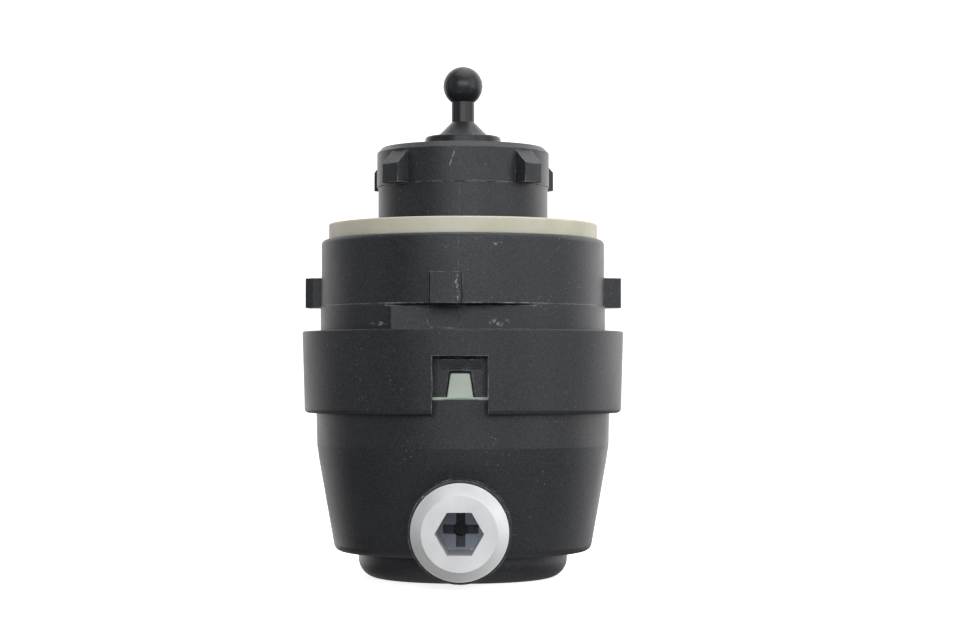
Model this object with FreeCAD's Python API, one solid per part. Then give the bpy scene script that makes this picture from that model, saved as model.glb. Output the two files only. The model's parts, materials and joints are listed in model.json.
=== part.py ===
"""Headlamp levelling actuator.

Frame: millimetres, +Z along the push rod towards its ball, z = 0 on the flat base,
-Y towards the hand adjuster.
An electric gear train lifts a threaded sleeve. The hand adjuster turns a hex rod that screws
the push rod in or out of that sleeve. Every sub-part is written to parts/NODE.step.
"""
import math
import os

import FreeCAD
import Part

V = FreeCAD.Vector
UP = V(0, 0, 1)
FULL_TURN = 360.0
CLEAR = 0.06        # radial clearance of every running fit
OVERRUN = 1.0       # how far a cutting tool runs past the face it cuts

# ---- driving dimensions: outside ----
BALL_R = 4.1
BALL_Z = 102.05
STEM_R = 2.38
CONE_TOP_Z = 94.5
SHAFT_R = 5.4
BUSH_R = 7.9
BUSH_TOP_Z = 91.45
NECK_TOP_Z = 89.0
NECK_STEP_Z = 80.8
NECK_R = 17.65
NECK_HEAD_R = 17.91
NECK_CHAMFER = 1.1
BODY_TOP_Z = 69.8
BODY_R = 29.4
BAND_R = 29.6
BAND_Z = (50.9, 55.9)
COLLAR_R = (32.85, 33.35)
COLLAR_Z = (34.0, 50.8)
FACET_Y = -26.23
POT_R = 30.5
POT_RIM_Z = 36.9
POT_TAPER = ((28.32, 15.7), (29.8, 24.1), (30.28, 27.3))
POT_SHOULDER_R = 26.5
POT_SHOULDER_Z = 5.5
BASE_R = 21.65
BASE_ROUND = 4.0
WALL = 2.2

# ---- driving dimensions: lugs, notches, ring ----
NECK_LUG_ANGLES = (-120.0, -44.8, 44.8, 120.0)
NECK_LUG_R = 20.72
NECK_LUG_WIDTH = 4.6
NECK_LUG_SLOPE_Z = (84.6, 87.5)
BODY_LUG_ANGLES = (-96.0, -5.8, 96.0, 174.2)
BODY_LUG_R = 33.0
BODY_LUG_WIDTH = 6.75
BODY_LUG_Z = (55.8, 62.0)
BODY_LUG_DRAFT = 0.9
BODY_LUG_LEAD = (1.4, 1.9)
NOTCH_COUNT = 3
NOTCH_HALF = 5.45
NOTCH_TOP_Z = 45.5
NOTCH_WALL_R = 30.65
HOOK_WIDTH = 8.1
HOOK_Z = (43.1, 45.1)
HOOK_REACH = 1.3
TAB_Z = (37.0, 42.1)
TAB_HALF = (2.5, 1.85)
TAB_FLARE = 0.8
CROWN_WIDTH = 7.5
CROWN_RISE = 0.4
SNAP_COUNT = 6
SNAP_Z = (35.2, 36.3)
SNAP_REACH = 0.55
SEAL_R = (21.0, 27.9)
SEAL_Z = (69.8, 73.1)

# ---- driving dimensions: hand adjuster ----
ADJUSTER_Z = 11.4
BOSS_R = 10.1
BOSS_FRONT_Y = -34.5
BOSS_BACK_Y = -17.0
ADJUSTER_SHAFT_R = 6.5
ADJUSTER_FLANGE_R = 9.55
ADJUSTER_FACE_R = 7.35
ADJUSTER_FACE_Y = -39.7
ADJUSTER_RIM_Y = (-35.7, BOSS_FRONT_Y - 0.3)
HEX_ACROSS_FLATS = 8.2
HEX_END_Y = -24.5
CORE_R = 4.28
CROSS_SPAN = 3.5
CROSS_HALF = 0.9
CROSS_DEPTH = 1.6
CORE_HOLE_R = 1.45
O_RING_R = 0.6
O_RING_Y = -29.4
BEVEL_MODULE = 1.0
BEVEL_TEETH = (9, 15)
BEVEL_FACE = 0.66
BEVEL_ADDENDUM = 0.8
BEVEL_DEDENDUM = 1.05
BEVEL_TOOTH_SHARE = 0.86
PIVOT_R = 1.5
PIVOT_Z = (4.0, 18.4)

# ---- driving dimensions: push rod, sleeve and detent ----
DRIVE_FLATS = 3.2
DRIVE_Z = (19.9, 50.0)
ROD_BOTTOM_Z = 29.0
ROD_SHOULDER_Z = 58.5
ROD_BORE_TOP_Z = 58.0
ROD_FLATS_Z = 45.0
ROD_FLAT_HALF = 3.1
THREAD_R = 3.6
SLEEVE_R = 5.6
SLEEVE_FOOT_R = 6.6
SLEEVE_FOOT = 2.5
SLEEVE_Z = (24.5, 55.0)
EAR_WIDTH = 3.0
EAR_Y = (-12.5, 14.0)
DETENT_SEAT_R = 4.7
DETENT_TEETH = 12

# ---- driving dimensions: gear train and motor ----
STAGE_MODULES = (0.6, 0.7, 0.8)
PINION_TEETH = (9, 10, 10)
WHEEL_TEETH = (30, 27, 34)
MOTOR_AT_R = 16.4
MOTOR_R = 7.6
MOTOR_SHEET = 0.6
MOTOR_Z = (8.2, 33.0)
MOTOR_SHAFT_R = 0.75
MOTOR_BUSH_R = 2.0
CORE_Z = (15.0, 27.0)
AXLE_R = 1.0
AXLE_Z = (35.8, 50.9)
CHASSIS_Z = (35.6, 37.0)
COVER_Z = (49.6, 51.2)
COVER_R = 23.4
CHASSIS_SCREWS = (35.0, 145.0, 215.0, 270.0)
CHASSIS_SCREW_AT_R = 24.5
CHASSIS_SCREW_R = 1.2
CHASSIS_POST_R = 3.0
CHASSIS_POST_FOOT_Z = 20.0
COVER_POSTS = (60.0, 125.0, 200.0)
COVER_POST_AT_R = 20.0
COVER_SCREW_R = 0.9

# ---- driving dimensions: circuit board and connector ----
BOARD_Y = (16.6, 18.2)
BOARD_HALF = 14.0
BOARD_Z = (9.0, 33.0)
PIN_XS = (-5.0, 0.0, 5.0)
PIN_Z = 14.0
PIN_SIZE = (2.2, 0.64)
PIN_END_Y = 37.0
SHROUD_HALF = 10.5
SHROUD_Z = (7.5, 20.5)
SHROUD_Y = (22.0, 40.0)
SHROUD_FLOOR_Y = 29.6
SHROUD_WALL = 1.5
LATCH_HALF = 2.5


# ---- shape helpers ----
def polar(radius, degrees):
    """Point at a radius and direction in the XY plane."""
    return V(radius * math.cos(math.radians(degrees)), radius * math.sin(math.radians(degrees)), 0)


def disc(radius, z0, z1, at=V()):
    """Upright cylinder between two heights."""
    return Part.makeCylinder(radius, z1 - z0, V(at.x, at.y, z0), UP)


def ring(outer, inner, z0, z1, at=V()):
    """Upright tube between two heights."""
    return disc(outer, z0, z1, at).cut(disc(inner, z0 - OVERRUN, z1 + OVERRUN, at))


def rod_y(radius, y0, y1, z, x=0.0):
    """Cylinder along Y between two depths."""
    return Part.makeCylinder(radius, y1 - y0, V(x, y0, z), V(0, 1, 0))


def block(x, y, z):
    """Box from three (low, high) pairs."""
    return Part.makeBox(x[1] - x[0], y[1] - y[0], z[1] - z[0], V(x[0], y[0], z[0]))


def centred(width, y, z):
    """Box centred on x = 0."""
    return block((-width / 2, width / 2), y, z)


def revolved(profile):
    """Solid of revolution about Z from (radius, height) points."""
    points = [V(r, 0, z) for r, z in profile]
    face = Part.Face(Part.makePolygon(points + points[:1]))
    return face.revolve(V(), UP, FULL_TURN)


def prism(points, depth):
    """Solid from a closed outline of vectors, swept along a vector."""
    return Part.Face(Part.makePolygon(points + points[:1])).extrude(depth)


def rounded(solid, spots, radius, closeness=0.05):
    """Fillet the circular edges that lie at the given (radius, height) spots about Z."""
    edges = []
    for edge in solid.Edges:
        curve = edge.Curve
        if not isinstance(curve, Part.Circle):
            continue
        for r, z in spots:
            if abs(curve.Radius - r) < closeness and abs(curve.Center.z - z) < closeness:
                edges.append(edge)
    return solid.makeFillet(radius, edges)


def turned(solid, degrees, at=V()):
    """Copy of a solid turned about the vertical line through a point."""
    copy = solid.copy()
    copy.rotate(V(at.x, at.y, 0), UP, degrees)
    return copy


def at_each(places, make):
    """One solid for each place, as a list."""
    return [make(place) for place in places]


def along_y(edges):
    """The edges that run parallel to Y."""
    return [e for e in edges if abs(e.tangentAt(e.FirstParameter).y) > 0.99]


def arranged(solid, angles):
    """Copies of a solid turned about Z, as a list."""
    return [turned(solid, angle) for angle in angles]


def evenly(count, start=0.0):
    """Angles that share a full turn."""
    return [start + k * FULL_TURN / count for k in range(count)]


def sector(outer, inner, z0, z1, middle, width):
    """Piece of a tube, centred on a direction and as wide as an angle."""
    tube = ring(outer, inner, z0, z1)
    far = outer / math.cos(math.radians(min(width, 120.0) / 2)) + OVERRUN
    points = [V(0, 0, z0), polar(far, -width / 2), polar(far, width / 2)]
    points = [V(p.x, p.y, z0) for p in points]
    return turned(tube.common(prism(points, V(0, 0, z1 - z0))), middle)


def hexagon_prism(flats, start, axis, length):
    """Hexagonal bar of a width across flats from a point along an axis."""
    corner = flats / math.sqrt(3)
    points = [polar(corner, angle) for angle in evenly(6)]
    bar = prism(points, V(0, 0, length))
    bar.Placement = FreeCAD.Placement(start, FreeCAD.Rotation(UP, axis))
    return bar


# ---- gears ----
PRESSURE = math.radians(25.0)
ADDENDUM = 0.85
DEDENDUM = 1.2
BACKLASH = 0.14
FLANK_STEPS = 4


def involute(angle):
    """Involute of a pressure angle, in radians."""
    return math.tan(angle) - angle


def spur_gear(teeth, module, z0, z1, at, tooth_angle):
    """Straight gear with involute flanks and one tooth pointing at tooth_angle."""
    pitch = teeth * module / 2
    base = pitch * math.cos(PRESSURE)
    tip = pitch + ADDENDUM * module
    root = pitch - DEDENDUM * module
    half_at_pitch = (math.pi * module / 2 - BACKLASH * module) / (2 * pitch)

    def half_angle(radius):
        turn = math.acos(min(1.0, base / max(radius, base)))
        return half_at_pitch + involute(PRESSURE) - involute(turn)

    start = max(base, root)
    radii = [start + (tip - start) * k / FLANK_STEPS for k in range(FLANK_STEPS + 1)]
    step = 2 * math.pi / teeth

    def point(radius, angle):
        return V(radius * math.cos(angle), radius * math.sin(angle), 0)

    def line(start_point, end_point):
        return Part.LineSegment(start_point, end_point).toShape()

    def flank(points):
        curve = Part.BSplineCurve()
        curve.interpolate(points)
        return curve.toShape()

    edges = []
    for k in range(teeth):
        middle = math.radians(tooth_angle) + k * step
        rise = [point(r, middle - half_angle(r)) for r in radii]
        fall = [point(r, middle + half_angle(r)) for r in reversed(radii)]
        foot_in = point(root, middle - half_angle(start))
        foot_out = point(root, middle + half_angle(start))
        next_foot = point(root, middle + step - half_angle(start))
        gap = point(root, middle + step / 2)
        if root < start:
            edges.append(line(foot_in, rise[0]))
        edges.append(flank(rise))
        edges.append(Part.Arc(rise[-1], point(tip, middle), fall[0]).toShape())
        edges.append(flank(fall))
        if root < start:
            edges.append(line(fall[-1], foot_out))
        edges.append(Part.Arc(foot_out, gap, next_foot).toShape())
    gear = Part.Face(Part.Wire(edges)).extrude(V(0, 0, z1 - z0))
    gear.translate(V(at.x, at.y, z0))
    return gear


def bevel_gear(teeth, mate_teeth, tooth_turn):
    """Straight bevel gear about +Z with its cone apex at the origin."""
    pitch = teeth * BEVEL_MODULE / 2
    mate_pitch = mate_teeth * BEVEL_MODULE / 2
    cone = math.hypot(pitch, mate_pitch)
    inner = cone * BEVEL_FACE
    middle = math.atan2(pitch, mate_pitch)
    addendum = BEVEL_ADDENDUM * BEVEL_MODULE
    dedendum = BEVEL_DEDENDUM * BEVEL_MODULE
    tip = middle + addendum / cone
    root = middle - dedendum / cone
    half_pitch = math.pi * BEVEL_MODULE / 4 * BEVEL_TOOTH_SHARE
    half_tip = (half_pitch - addendum * math.tan(PRESSURE)) / (cone * math.sin(tip))
    half_root = (half_pitch + dedendum * math.tan(PRESSURE)) / (cone * math.sin(root))
    sunk = 0.05
    low = root - sunk

    def corner(distance, cone_angle, azimuth):
        across = distance * math.tan(cone_angle)
        return V(across * math.cos(azimuth), across * math.sin(azimuth), distance)

    def section(distance):
        spots = ((low, -half_root), (tip, -half_tip), (tip, half_tip), (low, half_root))
        points = [corner(distance, cone_angle, azimuth) for cone_angle, azimuth in spots]
        return Part.makePolygon(points + points[:1])

    short_of_face = 0.7
    past_back = 1.15
    near = inner * math.cos(tip) * short_of_face
    far = cone * math.cos(low) * past_back
    tooth = Part.makeLoft([section(near), section(far)], True, True)
    shell = Part.makeSphere(cone).cut(Part.makeSphere(inner))
    tooth = tooth.common(shell)
    z_near = inner * math.cos(root)
    z_far = cone * math.cos(root)
    slope = math.tan(root)
    body = revolved([(0, z_near), (z_near * slope, z_near), (z_far * slope, z_far), (0, z_far)])
    teeth_solids = arranged(tooth, evenly(teeth, tooth_turn))
    return body.fuse(teeth_solids).removeSplitter()


# ---- gear train layout ----
def stage_distance(stage):
    """Centre distance of one gear stage."""
    return STAGE_MODULES[stage] * (PINION_TEETH[stage] + WHEEL_TEETH[stage]) / 2


def angle_across(r_one, r_other, distance):
    """Angle at the axis between two points at these radii that are this far apart, in degrees."""
    cosine = (r_one ** 2 + r_other ** 2 - distance ** 2) / (2 * r_one * r_other)
    return math.degrees(math.acos(cosine))


def heading(start, end):
    """Direction from one point to another, in degrees."""
    return math.degrees(math.atan2(end.y - start.y, end.x - start.x))


AXLE_AT_R = stage_distance(2)
FIRST_ANGLE = -angle_across(MOTOR_AT_R, AXLE_AT_R, stage_distance(0))
SECOND_ANGLE = FIRST_ANGLE - angle_across(AXLE_AT_R, AXLE_AT_R, stage_distance(1))
MOTOR_AT = polar(MOTOR_AT_R, 0)
FIRST_AT = polar(AXLE_AT_R, FIRST_ANGLE)
SECOND_AT = polar(AXLE_AT_R, SECOND_ANGLE)
LEVEL_ONE = (37.6, 40.2)
LEVEL_TWO = (40.7, 43.3)
LEVEL_THREE = (44.0, 49.0)


def mesh_angles(stage, start, end):
    """Tooth directions that put a pinion tooth into a wheel gap on the line of centres."""
    toward = heading(start, end)
    return toward, toward + 180.0 + 180.0 / WHEEL_TEETH[stage]


# ---- housings ----
BUSH_SEAT = 0.7
POT_SEAT_GAP = 0.25
RIM_GAP = 0.7


def upper_housing():
    """Neck, coded body and collar in one moulding, open at the bottom."""
    body_inner_r = BODY_R - 2.4
    neck_inner_r = NECK_R - WALL
    pot_inner_r = POT_R - WALL
    seat_r = POT_R + POT_SEAT_GAP
    seat_z = POT_RIM_Z + RIM_GAP
    lip_z = NECK_TOP_Z - 2.5
    step_z = (49.1, 50.5)
    shell = revolved([
        (seat_r, COLLAR_Z[0]),
        (COLLAR_R[0], COLLAR_Z[0]),
        (COLLAR_R[1], COLLAR_Z[1]),
        (BAND_R, COLLAR_Z[1]),
        (BAND_R, BAND_Z[1]),
        (BODY_R, BAND_Z[1] + 0.2),
        (BODY_R, BODY_TOP_Z),
        (NECK_R, BODY_TOP_Z),
        (NECK_R, NECK_STEP_Z),
        (NECK_HEAD_R, NECK_STEP_Z),
        (NECK_HEAD_R, NECK_TOP_Z - NECK_CHAMFER),
        (NECK_HEAD_R - NECK_CHAMFER, NECK_TOP_Z),
        (BUSH_R - BUSH_SEAT, NECK_TOP_Z),
        (BUSH_R - BUSH_SEAT, lip_z),
        (neck_inner_r, lip_z),
        (neck_inner_r, BODY_TOP_Z - WALL),
        (body_inner_r, BODY_TOP_Z - WALL),
        (body_inner_r, step_z[1]),
        (pot_inner_r, step_z[0]),
        (pot_inner_r, seat_z),
        (seat_r, seat_z),
    ])
    body_round = 1.0
    collar_foot_round = 0.9
    collar_lip_round = 0.3
    shell = rounded(shell, [(BODY_R, BODY_TOP_Z)], body_round)
    shell = rounded(shell, [(COLLAR_R[0], COLLAR_Z[0])], collar_foot_round)
    shell = rounded(shell, [(COLLAR_R[1], COLLAR_Z[1])], collar_lip_round)
    shell = shell.fuse(facet_backing(body_inner_r)).cut(facet_space())
    shell = shell.fuse(neck_lugs() + body_lugs())
    for angle in evenly(NOTCH_COUNT):
        shell = shell.cut(turned(notch_space(), angle))
        shell = shell.fuse(turned(notch_hook(), angle))
    gap = 0.3
    pocket_r = POT_R + SNAP_REACH + gap
    pocket = sector(pocket_r, POT_R, SNAP_Z[0] - gap, SNAP_Z[1] + gap, 0, 11.0)
    shell = shell.cut(arranged(pocket, evenly(SNAP_COUNT)))
    return shell.removeSplitter()


def facet_backing(inner_r):
    """Solid behind the flat facet under the front lug."""
    reach = 1.6
    backing = disc(inner_r + 0.4, BAND_Z[0] - reach, BAND_Z[1] + reach)
    front = centred(2 * BODY_R, (-2 * BODY_R, FACET_Y + WALL), (BAND_Z[0] - reach, BODY_TOP_Z))
    return backing.common(front)


def facet_space():
    """Space in front of the facet, with a groove along its top and the lug's shallow imprint."""
    far = -2 * BODY_R
    groove_depth = 0.8
    groove_z = BAND_Z[1] - 0.35
    imprint_depth = 0.2
    imprint_round = 1.2
    low = COLLAR_Z[1] + 0.05
    space = centred(2 * BODY_R, (far, FACET_Y), (low, BAND_Z[1]))
    space = space.fuse(centred(2 * BODY_R, (far, FACET_Y + groove_depth), (groove_z, BAND_Z[1])))
    imprint = centred(BODY_LUG_WIDTH - 0.4, (far, FACET_Y + imprint_depth), (low + 0.3, groove_z))
    corners = [e for e in along_y(imprint.Edges) if e.CenterOfMass.z < low + 1]
    imprint = imprint.makeFillet(imprint_round, corners)
    imprint.translate(V(BODY_LUG_R * math.sin(math.radians(BODY_LUG_ANGLES[1])), 0, 0))
    return space.fuse(imprint).common(disc(BAND_R + OVERRUN, BAND_Z[0] - OVERRUN, BODY_TOP_Z))


def neck_lugs():
    """Narrow bayonet lugs under the rim of the neck."""
    root = NECK_R - 0.8
    outline = [
        (root, NECK_STEP_Z),
        (NECK_LUG_R, NECK_STEP_Z),
        (NECK_LUG_R, NECK_LUG_SLOPE_Z[0]),
        (NECK_HEAD_R - 0.1, NECK_LUG_SLOPE_Z[1]),
        (root, NECK_LUG_SLOPE_Z[1]),
    ]
    points = [V(-NECK_LUG_WIDTH / 2, -r, z) for r, z in outline]
    lug = prism(points, V(NECK_LUG_WIDTH, 0, 0)).common(disc(NECK_LUG_R, NECK_STEP_Z, NECK_TOP_Z))
    return arranged(lug, NECK_LUG_ANGLES)


def body_lugs():
    """Wide bayonet lugs on the body, each with a lead-in chamfer on one side and draft on the other."""
    half = BODY_LUG_WIDTH / 2
    root = BODY_R - 0.9
    lead_across, lead_deep = BODY_LUG_LEAD
    outline = [
        (-half, -root),
        (-half + BODY_LUG_DRAFT, -BODY_LUG_R),
        (half - lead_across, -BODY_LUG_R),
        (half, -BODY_LUG_R + lead_deep),
        (half, -root),
    ]
    points = [V(x, y, BODY_LUG_Z[0]) for x, y in outline]
    lug = prism(points, V(0, 0, BODY_LUG_Z[1] - BODY_LUG_Z[0]))
    return arranged(lug.common(disc(BODY_LUG_R, *BODY_LUG_Z)), BODY_LUG_ANGLES)


def notch_space():
    """Space of the front collar notch, with the pocket for the gasket tab."""
    outside = ring(COLLAR_R[1] + OVERRUN, NOTCH_WALL_R, COLLAR_Z[0] - OVERRUN, NOTCH_TOP_Z)
    window = centred(2 * NOTCH_HALF, (-2 * POT_R, 0), (COLLAR_Z[0] - OVERRUN, NOTCH_TOP_Z))
    pocket_floor_r = 29.2
    pocket = tab_outline(0.35, (POT_RIM_Z, TAB_Z[1] + 0.5))
    pocket = pocket.common(ring(NOTCH_WALL_R + 0.1, pocket_floor_r, POT_RIM_Z - OVERRUN, NOTCH_TOP_Z))
    return window.common(outside).fuse(pocket)


def notch_hook():
    """Snap hook across the top of a notch, undercut towards its foot."""
    low, high = HOOK_Z
    front = -NOTCH_WALL_R - HOOK_REACH
    back = -NOTCH_WALL_R + 0.4
    edge_round = 0.3
    outline = [
        (back, low),
        (front + 0.7, low),
        (front, high - edge_round),
        (front + edge_round, high),
        (back, high),
    ]
    points = [V(-HOOK_WIDTH / 2, y, z) for y, z in outline]
    return prism(points, V(HOOK_WIDTH, 0, 0))


def tab_outline(margin, heights):
    """Tapered block of the gasket tab with a flared foot, running along -Y."""
    low, high = heights
    waist, top = (half + margin for half in TAB_HALF)
    shoulder_z = low + TAB_FLARE
    arc_reach = TAB_FLARE * (1 - math.sqrt(0.5))

    def side(sign):
        foot = V(sign * (waist + TAB_FLARE), 0, low)
        bend = V(sign * (waist + arc_reach), 0, low + arc_reach)
        neck = V(sign * waist, 0, shoulder_z)
        return foot, bend, neck, V(sign * top, 0, high)

    left, right = side(-1), side(1)
    edges = [
        Part.LineSegment(left[0], right[0]),
        Part.Arc(*right[:3]),
        Part.LineSegment(*right[2:]),
        Part.LineSegment(right[3], left[3]),
        Part.LineSegment(left[3], left[2]),
        Part.Arc(left[2], left[1], left[0]),
    ]
    face = Part.Face(Part.Wire([edge.toShape() for edge in edges]))
    block_of_tab = face.extrude(V(0, -2 * POT_R, 0))
    corners = [e for e in along_y(block_of_tab.Edges) if e.CenterOfMass.z > high - 0.01]
    return block_of_tab.makeFillet(0.35, corners)


def rim_crown():
    """Low arched rise of the pot's rim under a gasket tab."""
    radius = (CROWN_WIDTH ** 2 / 4 + CROWN_RISE ** 2) / (2 * CROWN_RISE)
    arch = rod_y(radius, -2 * POT_R, 0, POT_RIM_Z + CROWN_RISE - radius)
    return arch.common(ring(POT_R, POT_R - 1.2, POT_RIM_Z - 0.2, POT_RIM_Z + OVERRUN))


def pot_outside():
    """Outer form of the pot, solid."""
    shoulder_round = 1.7
    profile = [
        (0, 0),
        (BASE_R, 0),
        (BASE_R, POT_SHOULDER_Z),
        (POT_SHOULDER_R, POT_SHOULDER_Z),
        *POT_TAPER,
        (POT_R, POT_RIM_Z),
        (0, POT_RIM_Z),
    ]
    body = rounded(revolved(profile), [(BASE_R, 0)], BASE_ROUND)
    return rounded(body, [(POT_SHOULDER_R, POT_SHOULDER_Z)], shoulder_round)


def pot_hollow():
    """Room inside the pot."""
    floor_r = BASE_R - WALL
    shelf_z = POT_SHOULDER_Z + WALL
    taper_r, taper_z = POT_TAPER[1]
    straight_z = POT_TAPER[2][1]
    top = POT_RIM_Z + OVERRUN
    return revolved([
        (0, WALL),
        (floor_r, WALL),
        (floor_r, shelf_z),
        (POT_SHOULDER_R - WALL, shelf_z),
        (taper_r - WALL - 0.2, taper_z),
        (POT_R - WALL, straight_z + 0.3),
        (POT_R - WALL, top),
        (0, top),
    ])


def connector_shroud():
    """Rear socket, solid, and the cavity that makes it hollow."""
    outer = centred(2 * SHROUD_HALF, SHROUD_Y, SHROUD_Z)
    outer = outer.makeFillet(2.0, along_y(outer.Edges))
    top = SHROUD_Z[1]
    ramp_y = (31.0, 35.0, 36.0)
    ramp_height = 1.3
    ramp = [
        V(-LATCH_HALF, ramp_y[0], top - 0.1),
        V(-LATCH_HALF, ramp_y[2], top - 0.1),
        V(-LATCH_HALF, ramp_y[2], top + ramp_height),
        V(-LATCH_HALF, ramp_y[1], top + ramp_height),
    ]
    outer = outer.fuse(prism(ramp, V(2 * LATCH_HALF, 0, 0)))
    inner_z = (SHROUD_Z[0] + SHROUD_WALL, SHROUD_Z[1] - SHROUD_WALL)
    inner = centred(2 * (SHROUD_HALF - SHROUD_WALL), (SHROUD_FLOOR_Y, SHROUD_Y[1] + OVERRUN), inner_z)
    return outer, inner.makeFillet(1.0, along_y(inner.Edges))


def chassis_post(at):
    """Screw post inside the pot's wall."""
    post = disc(CHASSIS_POST_R, CHASSIS_POST_FOOT_Z, CHASSIS_Z[0], at)
    return post.common(disc(POT_R - 1.0, 0, POT_RIM_Z))


def pot_housing():
    """Round pot with the adjuster boss, the base and the rear connector shroud."""
    shroud, socket = connector_shroud()
    screw_places = [polar(CHASSIS_SCREW_AT_R, angle) for angle in CHASSIS_SCREWS]
    boss = rod_y(BOSS_R, BOSS_FRONT_Y, -22.0, ADJUSTER_Z)
    pot = pot_outside().fuse([boss, shroud]).cut(pot_hollow())
    bearing = rod_y(BOSS_R - 1.6, -27.0, BOSS_BACK_Y, ADJUSTER_Z)
    pivot_post = disc(2 * PIVOT_R, WALL - 0.5, 9.0)
    bead = sector(POT_R + SNAP_REACH, POT_R - 0.6, *SNAP_Z, 0, 8.0)
    fittings = [bearing, pivot_post] + board_ribs()
    fittings += at_each(screw_places, chassis_post)
    fittings += arranged(bead, evenly(SNAP_COUNT)) + arranged(rim_crown(), evenly(NOTCH_COUNT))
    bore_y = (BOSS_FRONT_Y - OVERRUN, BOSS_BACK_Y + OVERRUN)
    pot = pot.fuse(fittings).cut(rod_y(ADJUSTER_SHAFT_R + CLEAR, *bore_y, ADJUSTER_Z))
    pot = pot.cut([socket, disc(PIVOT_R, PIVOT_Z[0], 9.5), connector_pins()])
    hole_z = (28.0, CHASSIS_Z[0] + OVERRUN)
    return pot.cut(at_each(screw_places, lambda at: disc(CHASSIS_SCREW_R, *hole_z, at))).removeSplitter()


def board_ribs():
    """Two slotted ribs that hold the circuit board's edges."""
    slack = 0.05
    rib_x = (13.2, 16.0)
    rib_y = (15.6, 19.4)
    rib_z = (6.5, BOARD_Z[1])
    slot_x = (12.0, BOARD_HALF + slack)
    slot_y = (BOARD_Y[0] - slack, BOARD_Y[1] + slack)
    ribs = []
    for side in (-1, 1):
        rib = block(sorted(side * x for x in rib_x), rib_y, rib_z)
        slot = block(sorted(side * x for x in slot_x), slot_y, (BOARD_Z[0], BOARD_Z[1] + OVERRUN))
        ribs.append(rib.cut(slot))
    return ribs


def housing_gasket():
    """Flat gasket on the pot rim with a tab in each notch."""
    thickness = 0.6
    flat = ring(POT_R - 0.05, POT_R - 2.0, POT_RIM_Z, POT_RIM_Z + thickness)
    tab = tab_outline(0.0, TAB_Z).common(ring(NOTCH_WALL_R - 0.1, 29.3, POT_RIM_Z, NOTCH_TOP_Z))
    gasket = flat.fuse(arranged(tab, evenly(NOTCH_COUNT)))
    return gasket.cut(arranged(rim_crown(), evenly(NOTCH_COUNT))).removeSplitter()


def mount_seal_ring():
    """Soft ring that seals the lamp housing's hole."""
    seal = ring(SEAL_R[1], SEAL_R[0], *SEAL_Z)
    return rounded(seal, [(SEAL_R[1], SEAL_Z[1]), (SEAL_R[0], SEAL_Z[1])], 0.3)


LIP_SEAL_R = 6.25


def guide_bush():
    """Flanged bush that guides the push rod in the neck."""
    spigot_r = BUSH_R - BUSH_SEAT - 0.05
    foot_z = 79.0
    seal_seat_z = 81.4
    bush = revolved([
        (SHAFT_R + CLEAR, foot_z),
        (spigot_r, foot_z),
        (spigot_r, NECK_TOP_Z),
        (BUSH_R, NECK_TOP_Z),
        (BUSH_R, BUSH_TOP_Z),
        (SHAFT_R + CLEAR, BUSH_TOP_Z),
    ])
    bush = rounded(bush, [(BUSH_R, BUSH_TOP_Z)], 0.6)
    notch_z = (NECK_TOP_Z + 0.9, BUSH_TOP_Z + OVERRUN)
    notch = block((0.6, 2.2), (-BUSH_R - OVERRUN, -BUSH_R + 0.5), notch_z)
    return bush.cut([notch, disc(LIP_SEAL_R + 0.05, foot_z - OVERRUN, seal_seat_z)])


def rod_lip_seal():
    """Seal ring in the bush's lower end."""
    return ring(LIP_SEAL_R, SHAFT_R + CLEAR / 2, 79.1, 81.3)


# ---- push rod and its drive ----
def push_rod():
    """Ball-headed rod with a threaded shank, two flats and a hexagonal bore."""
    neck_angle = math.asin(STEM_R / BALL_R)
    inside_ball = 0.2
    ball_foot = BALL_Z - BALL_R * math.cos(neck_angle) + inside_ball
    body = revolved([
        (0, ROD_BOTTOM_Z),
        (THREAD_R, ROD_BOTTOM_Z),
        (THREAD_R, ROD_SHOULDER_Z),
        (SHAFT_R, ROD_SHOULDER_Z),
        (SHAFT_R, CONE_TOP_Z - (SHAFT_R - STEM_R)),
        (STEM_R, CONE_TOP_Z),
        (STEM_R, ball_foot),
        (0, ball_foot),
    ])
    rod = body.fuse(Part.makeSphere(BALL_R, V(0, 0, BALL_Z))).removeSplitter()
    for side in (-1, 1):
        x = sorted((side * ROD_FLAT_HALF, side * (THREAD_R + OVERRUN)))
        rod = rod.cut(block(x, (-SHAFT_R, SHAFT_R), (ROD_FLATS_Z, ROD_SHOULDER_Z)))
    foot = V(0, 0, ROD_BOTTOM_Z - OVERRUN)
    return rod.cut(hexagon_prism(DRIVE_FLATS + 2 * CLEAR, foot, UP, ROD_BORE_TOP_Z - foot.z))


def hex_drive_rod():
    """Hexagonal rod that turns the push rod."""
    low, high = DRIVE_Z
    return hexagon_prism(DRIVE_FLATS, V(0, 0, low), UP, high - low)


def lift_sleeve():
    """Sleeve between the nut gear and the push rod, keyed by two ears on its foot."""
    low, high = SLEEVE_Z
    foot = disc(SLEEVE_FOOT_R, low, low + SLEEVE_FOOT)
    ears = centred(EAR_WIDTH, EAR_Y, (low, low + SLEEVE_FOOT))
    sleeve = disc(SLEEVE_R, low, high).fuse([foot, ears])
    bore = disc(THREAD_R + CLEAR, low - OVERRUN, high + OVERRUN)
    seat = disc(DETENT_SEAT_R, high - 2.5, high + OVERRUN)
    return sleeve.cut([bore, seat]).removeSplitter()


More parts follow.
